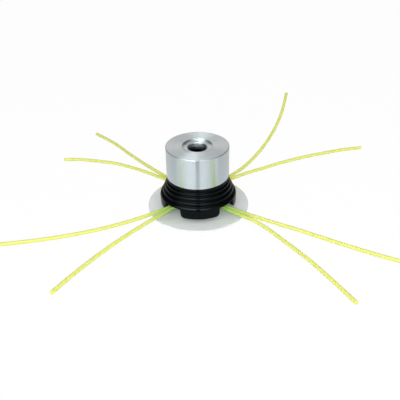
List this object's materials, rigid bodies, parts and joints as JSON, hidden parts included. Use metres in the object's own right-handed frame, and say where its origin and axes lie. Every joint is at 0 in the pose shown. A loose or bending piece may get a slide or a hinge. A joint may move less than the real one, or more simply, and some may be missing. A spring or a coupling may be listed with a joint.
{
  "type": "fixed line trimmer head",
  "caption": "Fixed line trimmer head: turned metal hub on a stepped black housing, a flat glide disc below and stiff yellow-green nylon line out of the notches.",
  "frame": {"origin": "middle of the glide disc's underside, on the axis of turning", "axes": "+Z along the axis of turning, up towards the gearbox; the housing's legs stand on X and Y and its line notches on the diagonals"},
  "size_m": [0.3132, 0.2759, 0.0559],
  "materials": {
    "turned_aluminium": "turned, satin",
    "blackened_steel": "blackened, oiled",
    "black_nylon": "moulded, satin",
    "brushed_steel": "brushed",
    "bright_steel": "turned",
    "zinc_plated_steel": "zinc plated",
    "yellow_green_nylon": "drawn, soft gloss"
  },
  "bodies": {
    "root": {"hub": "turned_aluminium", "thread_insert": "blackened_steel", "housing": "black_nylon", "glide_disc": "brushed_steel", "line_post_1": "bright_steel", "line_post_2": "bright_steel", "line_post_3": "bright_steel", "line_post_4": "bright_steel", "disc_screw_1": "zinc_plated_steel", "disc_screw_2": "zinc_plated_steel", "disc_screw_3": "zinc_plated_steel", "disc_screw_4": "zinc_plated_steel", "line_strand_1": "yellow_green_nylon", "line_strand_2": "yellow_green_nylon", "line_strand_3": "yellow_green_nylon", "line_strand_4": "yellow_green_nylon"}
  },
  "joints": []
}
